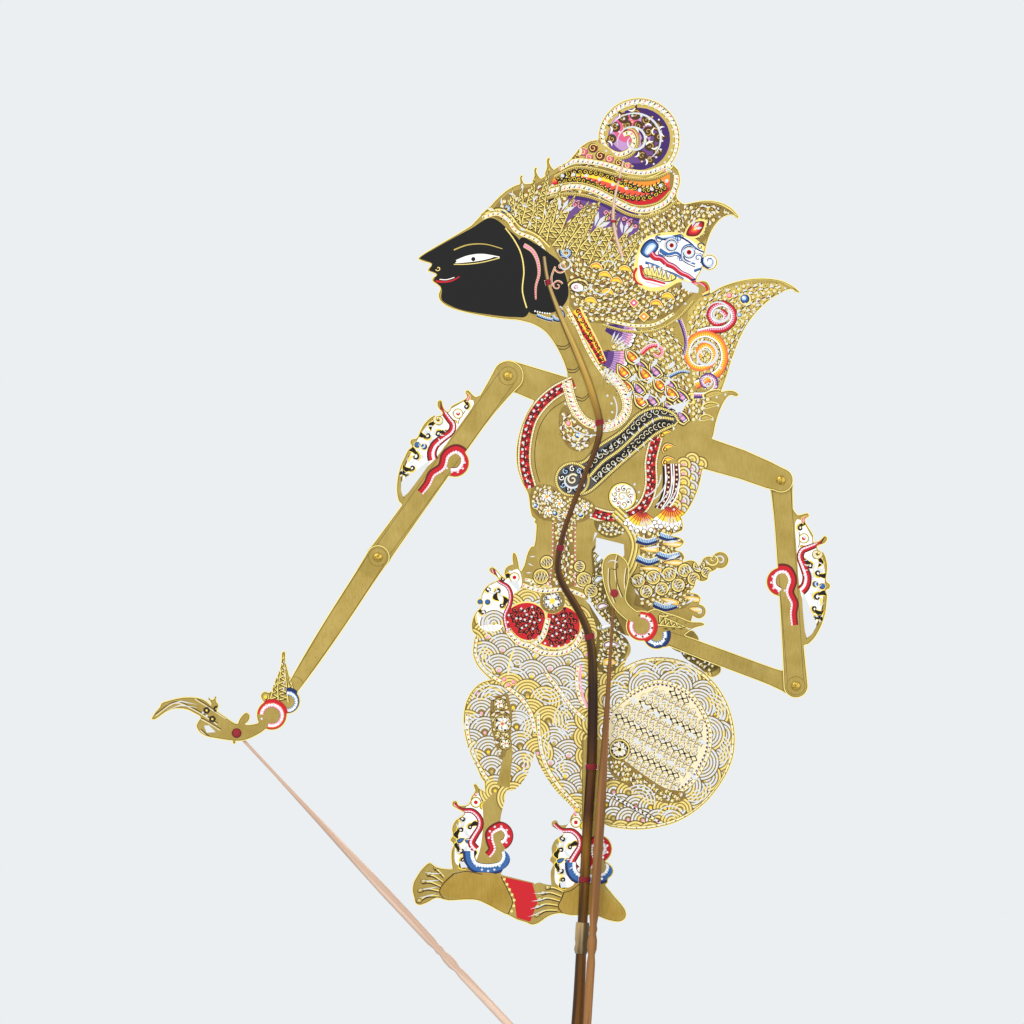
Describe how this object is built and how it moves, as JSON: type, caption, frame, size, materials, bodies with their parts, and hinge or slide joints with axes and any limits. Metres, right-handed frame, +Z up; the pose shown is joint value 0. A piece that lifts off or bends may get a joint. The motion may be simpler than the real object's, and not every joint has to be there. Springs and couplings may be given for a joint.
{
  "type": "shadow puppet",
  "caption": "Flat pierced hide figure on a split horn rod, with arms hinged at shoulder and elbow and a thin rod tied to each hand, worked against a lit screen.",
  "frame": {"origin": "on the main rod's axis where its grip ends and the spike's straight shank begins", "axes": "+Z up the rod to the top-knot, +X to the right as the painted front is seen, +Y through the hide away from the viewer"},
  "size_m": [0.4743, 0.0266, 0.8292],
  "materials": {
    "gilded_hide": "pierced rawhide, gilded and painted",
    "dark_horn": "polished dark horn",
    "pale_horn": "polished pale horn",
    "rivet_brass": "domed and polished",
    "red_thread": "twisted cotton thread"
  },
  "bodies": {
    "figure": {"body_hide": "gilded_hide", "main_rod": "dark_horn", "head_splint": "pale_horn", "front_shoulder_rivet": "rivet_brass", "front_shoulder_burr": "rivet_brass", "rear_shoulder_rivet": "rivet_brass", "rear_shoulder_burr": "rivet_brass", "cheek_lashing": "red_thread", "neck_lashing": "red_thread", "waist_lashing": "red_thread", "hip_lashing": "red_thread", "knee_lashing": "red_thread", "ankle_lashing": "red_thread", "upper_stitch": "red_thread", "lower_stitch": "red_thread"},
    "front_arm": {"front_upper_arm": "gilded_hide", "front_elbow_rivet": "rivet_brass"},
    "front_hand": {"front_forearm": "gilded_hide", "front_hand_tie": "red_thread"},
    "front_rod": {"front_hand_rod": "pale_horn"},
    "rear_arm": {"rear_upper_arm": "gilded_hide", "rear_elbow_rivet": "rivet_brass", "rear_elbow_burr": "rivet_brass"},
    "rear_hand": {"rear_forearm": "gilded_hide", "rear_hand_tie": "red_thread"},
    "rear_rod": {"rear_hand_rod": "pale_horn"}
  },
  "joints": [
    {"name": "front_shoulder", "type": "hinge", "parent": "figure", "child": "front_arm", "pos_m": [-0.0441, -0.0016, 0.5544], "axis": [0, 1, 0], "range_deg": [-36, 80]},
    {"name": "front_elbow", "type": "hinge", "parent": "front_arm", "child": "front_hand", "pos_m": [-0.1351, -0.0031, 0.4277], "axis": [0, 1, 0], "range_deg": [-120, 60]},
    {"name": "front_hand_pivot", "type": "hinge", "parent": "front_hand", "child": "front_rod", "pos_m": [-0.2331, -0.0165, 0.3052], "axis": [0, 1, 0], "range_deg": [-50, 60]},
    {"name": "rear_shoulder", "type": "hinge", "parent": "figure", "child": "rear_arm", "pos_m": [0.147, 0.0016, 0.4815], "axis": [0, 1, 0], "range_deg": [-75, 4]},
    {"name": "rear_elbow", "type": "hinge", "parent": "rear_arm", "child": "rear_hand", "pos_m": [0.1575, 0.0031, 0.3375], "axis": [0, 1, 0], "range_deg": [-100, 16]},
    {"name": "rear_hand_pivot", "type": "hinge", "parent": "rear_hand", "child": "rear_rod", "pos_m": [0.0301, -0.0088, 0.4025], "axis": [0, 1, 0], "range_deg": [-35, 30]}
  ]
}
